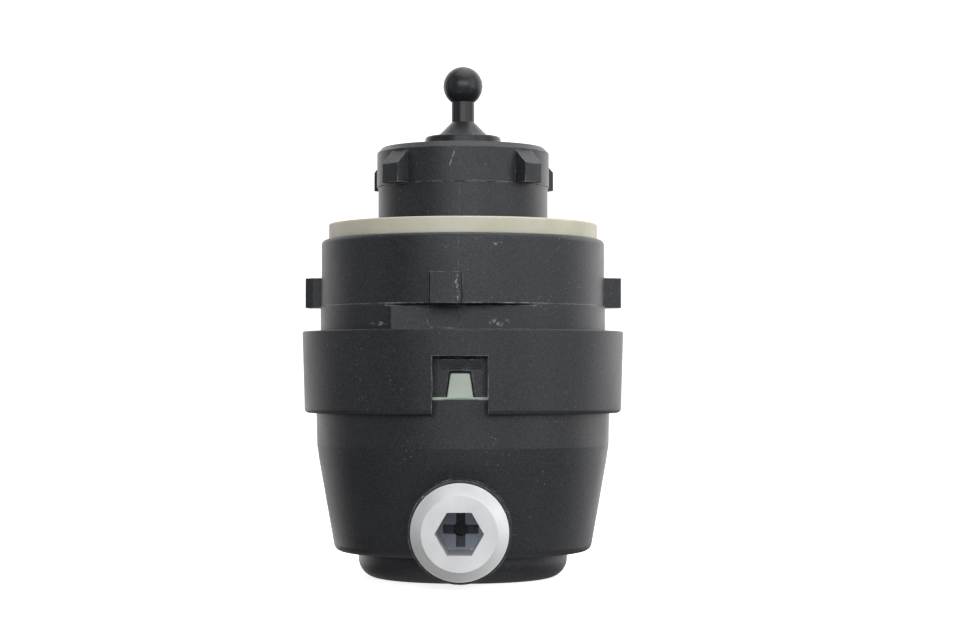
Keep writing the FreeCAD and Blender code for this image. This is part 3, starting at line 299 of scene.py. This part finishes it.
def moulded_plastic(name, base, worn, grain=4200.0, grain_depth=0.05 * MM, rough=(0.34, 0.46),
                    wear=0.7, dust=0.25, scratches=0.5, rounding=0.12 * MM, mottled=0.1,
                    rubs=(), hairlines=(), recess_shade_y=None):
    """Satin moulded plastic with fine texture, dust, scratches, rubbed edges, single marks and, if asked,
    painted shade in a hollow.

    grain is in waves to the metre, and the last argument is the Y behind which the colour is painted darker
    as shade in the hollow.
    """
    recipe = Recipe(name)
    grain_height = recipe.noise(grain, detail=3.0, roughness=0.6)
    cloud = recipe.noise(55.0, detail=3.0)
    lighter = tuple(c * 1.35 for c in base)
    lightest = tuple(min(0.9, c * 2.4) for c in base)
    recess_shade_colour = tuple(c * 0.3 for c in base)
    colour = recipe.mix(recipe.ramp(cloud, 0.35, 0.7), base, lighter)
    mottle = recipe.ramp(recipe.noise(2600.0, detail=2.0), 0.38, 0.62)
    colour = recipe.mix(recipe.maths("MULTIPLY", mottle, mottled), colour, lightest)
    scuff_noise = recipe.noise(420.0, detail=5.0, roughness=0.7)
    edge = recipe.maths("MULTIPLY", recipe.edges(0.45 * MM), recipe.ramp(scuff_noise, 0.42, 0.62))
    colour = recipe.mix(recipe.maths("MULTIPLY", edge, wear), colour, worn)
    fine = recipe.noise(1.0, detail=2.0, vector=recipe.stretched((260.0, 260.0, 5200.0)))
    long_marks = recipe.ramp(fine, 0.70, 0.76)
    sparse = recipe.ramp(recipe.noise(38.0, detail=1.0), 0.55, 0.7)
    marks = recipe.maths("MULTIPLY", recipe.maths("MULTIPLY", long_marks, sparse), scratches)
    colour = recipe.mix(marks, colour, worn)
    dots = recipe.maths("MULTIPLY", recipe.specks(900.0, 0.16), recipe.ramp(recipe.noise(120.0), 0.5, 0.62))
    colour = recipe.mix(recipe.maths("MULTIPLY", dots, dust), colour, worn)
    if rubs:
        rubbed = recipe.highest([recipe.spot(*rub) for rub in rubs])
        flecks = recipe.ramp(recipe.noise(1500.0, detail=4.0, roughness=0.7), 0.50, 0.60)
        colour = recipe.mix(recipe.maths("MULTIPLY", rubbed, flecks), colour, worn)
    if hairlines:
        drawn = recipe.highest([recipe.maths("MULTIPLY", recipe.spot(place, half), strength)
                                for place, half, strength in hairlines])
        broken = recipe.ramp(recipe.noise(700.0, detail=2.0), 0.35, 0.60, 0.15, 0.8)
        colour = recipe.mix(recipe.maths("MULTIPLY", drawn, broken), colour, worn)
    # Painted shade: behind the given Y the colour is painted darker, more so deeper into the hollow, as the
    # shade that falls there.
    if recess_shade_y is not None:
        split = recipe.node("ShaderNodeSeparateXYZ")
        recipe.link(recipe.place, split.inputs["Vector"])
        painted_recess_shade = recipe.ramp(split.outputs["Y"], recess_shade_y + 0.2 * MM, recess_shade_y + 1.2 * MM)
        colour = recipe.mix(painted_recess_shade, colour, recess_shade_colour)
    recipe.colour(colour)
    recipe.roughness(recipe.ramp(cloud, 0.3, 0.75, *rough))
    recipe.bump((grain_height, grain_depth), (marks, -0.01 * MM), rounding=rounding)
    recipe.set(Specular_IOR_Level=0.42)
    return recipe.material


def silicone(name, light, shade):
    """Slightly translucent silicone with a cloudy tone and fine darker specks."""
    recipe = Recipe(name)
    cloud = recipe.noise(90.0, detail=4.0)
    colour = recipe.mix(recipe.ramp(cloud, 0.35, 0.7), light, shade)
    dots = recipe.specks(700.0, 0.14)
    colour = recipe.mix(recipe.maths("MULTIPLY", dots, 0.25), colour, tuple(c * 0.6 for c in shade))
    recipe.colour(colour)
    recipe.roughness(recipe.ramp(cloud, 0.3, 0.7, 0.45, 0.6))
    recipe.bump((recipe.noise(1500.0, detail=3.0), 0.02 * MM), rounding=0.4 * MM)
    recipe.set(Subsurface_Weight=0.25, Subsurface_Scale=2.0 * MM)
    return recipe.material


def metal(name, light, dark):
    """Turned or drawn metal with fine marks across Z."""
    recipe = Recipe(name)
    lines = recipe.noise(1.0, detail=3.0, vector=recipe.stretched((300.0, 300.0, 6000.0)))
    cloud = recipe.noise(160.0, detail=3.0)
    recipe.colour(recipe.mix(recipe.ramp(cloud, 0.3, 0.7), light, dark))
    recipe.roughness(recipe.ramp(lines, 0.3, 0.7, 0.25, 0.4))
    recipe.bump((lines, 0.006 * MM))
    recipe.set(Metallic=1.0)
    return recipe.material


def board_laminate():
    """Green solder-resist laminate with copper tracks under it."""
    recipe = Recipe("board_laminate")
    tracks = recipe.node("ShaderNodeTexWave", wave_type="BANDS", bands_direction="X")
    tracks.inputs["Scale"].default_value = 90.0
    tracks.inputs["Distortion"].default_value = 6.0
    tracks.inputs["Detail"].default_value = 1.0
    tracks.inputs["Detail Scale"].default_value = 40.0
    recipe.link(recipe.place, tracks.inputs["Vector"])
    line = recipe.ramp(tracks.outputs["Fac"], 0.72, 0.8)
    recipe.colour(recipe.mix(line, (0.01, 0.09, 0.035), (0.03, 0.2, 0.08)))
    recipe.roughness(recipe.ramp(recipe.noise(300.0), 0.3, 0.7, 0.25, 0.4))
    recipe.bump((line, 0.03 * MM))
    return recipe.material


def wound_copper():
    """Enamelled wire wound side by side."""
    recipe = Recipe("wound_copper")
    wire = recipe.node("ShaderNodeTexWave", wave_type="BANDS", bands_direction="Z")
    wire.inputs["Scale"].default_value = 900.0
    wire.inputs["Distortion"].default_value = 0.6
    recipe.link(recipe.place, wire.inputs["Vector"])
    recipe.colour(recipe.mix(wire.outputs["Fac"], (0.28, 0.09, 0.03), (0.78, 0.35, 0.16)))
    recipe.roughness(recipe.ramp(recipe.noise(500.0), 0.3, 0.7, 0.25, 0.4))
    recipe.bump((wire.outputs["Fac"], 0.08 * MM))
    recipe.set(Metallic=1.0)
    return recipe.material


def on_front(radius, x, z):
    """Point on the front of an upright cylinder."""
    return (x, -math.sqrt(radius ** 2 - x ** 2), z)


def housing_rubs():
    """Places and half sizes of the rubbed patches on the housing's front."""
    lug_corner = on_front(BODY_R + 3.0 * MM, -0.5 * MM, LUG_FOOT_Z + 3.1 * MM)
    boss_edge = (-7.6 * MM, -34.4 * MM, 19.0 * MM)
    return (
        (lug_corner, (0.7 * MM, 2.0 * MM, 3.4 * MM)),
        (on_front(BODY_R, 7.4 * MM, LUG_FOOT_Z + 11.7 * MM), (1.3 * MM, 2.0 * MM, 0.5 * MM)),
        (on_front(BODY_R, 7.6 * MM, LUG_FOOT_Z - 3.6 * MM), (3.2 * MM, 4.0 * MM, 1.2 * MM)),
        (on_front(BODY_R, -16.4 * MM, LUG_FOOT_Z - 3.8 * MM), (2.6 * MM, 3.0 * MM, 0.5 * MM)),
        (boss_edge, (1.6 * MM, 1.6 * MM, 1.6 * MM)),
    )


def housing_hairlines():
    """Place, half size and strength of each stretch of the parting line and of a scratch."""
    seam_x = -0.4 * MM
    seam = 0.1 * MM
    faint = 0.22
    neck_middle = (NECK_STEP_Z + LUG_FOOT_Z + 17.0 * MM) / 2
    neck_seam = (on_front(NECK_R, seam_x, neck_middle), (seam, 2.0 * MM, 4.6 * MM), faint)
    body_seam = (on_front(BODY_R, seam_x, LUG_FOOT_Z + 10.0 * MM), (seam, 2.0 * MM, 5.0 * MM), faint)
    steps = 5
    nick = []
    for k in range(steps):
        along = (k / (steps - 1) - 0.5) * 2.4 * MM
        place = on_front(NECK_R, -1.9 * MM + along * 0.35, NECK_STEP_Z + 4.6 * MM + along)
        nick.append((place, (0.17 * MM, 1.5 * MM, 0.55 * MM), 0.8))
    return (neck_seam, body_seam, *nick)


HOUSING_BASE = (0.0125, 0.0129, 0.0152)
HOUSING_WORN = (0.30, 0.30, 0.31)


def build_materials():
    """Every material of the object, by the record's slot name."""
    core_face_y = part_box("adjuster_pinion")[0][1]
    return {
        "black_housing": moulded_plastic("black_housing", HOUSING_BASE, HOUSING_WORN, dust=0.38,
                                         mottled=0.75, rubs=housing_rubs(), hairlines=housing_hairlines()),
        "black_rod": moulded_plastic("black_rod", (0.0125, 0.0127, 0.014), HOUSING_WORN, grain=5000.0,
                                     grain_depth=0.008 * MM, rough=(0.28, 0.4), wear=0.4, dust=0.3,
                                     scratches=0.3),
        "cream_seal": silicone("cream_seal", (0.62, 0.585, 0.46), (0.545, 0.51, 0.395)),
        "grey_gasket": silicone("grey_gasket", (0.54, 0.58, 0.495), (0.45, 0.49, 0.41)),
        "white_adjuster": moulded_plastic("white_adjuster", (0.60, 0.595, 0.59), (0.36, 0.38, 0.42),
                                          grain=3000.0, grain_depth=0.01 * MM, rough=(0.35, 0.5), wear=0.25,
                                          dust=0.25, scratches=0.25),
        # dark_core gets painted shade on the socket's cross arms behind the pinion's front face.
        "dark_core": moulded_plastic("dark_core", (0.36, 0.40, 0.47), (0.3, 0.32, 0.35), wear=0.3,
                                     recess_shade_y=core_face_y),
        "gear_plastic": moulded_plastic("gear_plastic", (0.66, 0.65, 0.60), (0.45, 0.44, 0.4), wear=0.2,
                                        grain_depth=0.01 * MM, dust=0.1, scratches=0.1),
        "frame_plastic": moulded_plastic("frame_plastic", (0.05, 0.05, 0.055), (0.25, 0.25, 0.25)),
        "steel": metal("steel", (0.62, 0.63, 0.65), (0.48, 0.49, 0.51)),
        "bearing_bronze": metal("bearing_bronze", (0.68, 0.45, 0.20), (0.52, 0.33, 0.14)),
        "copper_wire": wound_copper(),
        "ferrite": moulded_plastic("ferrite", (0.06, 0.06, 0.065), (0.16, 0.16, 0.16), grain=4000.0,
                                   rough=(0.6, 0.8)),
        "carbon": moulded_plastic("carbon", (0.03, 0.03, 0.03), (0.12, 0.12, 0.12), rough=(0.5, 0.7)),
        "tinned_brass": metal("tinned_brass", (0.78, 0.76, 0.70), (0.62, 0.60, 0.54)),
        "black_rubber": moulded_plastic("black_rubber", (0.02, 0.02, 0.02), (0.1, 0.1, 0.1),
                                        rough=(0.6, 0.75), wear=0.1, scratches=0.0),
        "board_laminate": board_laminate(),
        "chip_black": moulded_plastic("chip_black", (0.025, 0.025, 0.027), (0.2, 0.2, 0.2), grain=6000.0),
        "component_tan": moulded_plastic("component_tan", (0.45, 0.33, 0.18), (0.6, 0.5, 0.35),
                                         rough=(0.3, 0.45)),
    }


def finish_cad_nodes(materials):
    """Each CAD node takes the material of its slot in the record."""
    slots = {s["node"]: s["material_slot"] for s in frame["record"]["subparts"]}
    for name, node in NODES.items():
        node.data.materials.clear()
        node.data.materials.append(materials[slots[name]])


add_camera()
add_world(bright=1.7, dim=0.10, low=0.12, table=0.55)
add_floor()
add_area_light("right_panel", (0.75, -0.45, 0.30), width=0.6, height=0.9, power=3.2)
add_area_light("left_panel", (-0.8, -0.2, 0.25), width=0.5, height=0.9, power=0.7)
add_area_light("front_panel", (0.08, -1.25, 0.42), width=1.5, height=0.5, power=9.6)
add_area_light("top_panel", (0.1, -0.1, 0.9), width=0.9, height=0.9, power=5.2)
MATERIALS = build_materials()
finish_cad_nodes(MATERIALS)
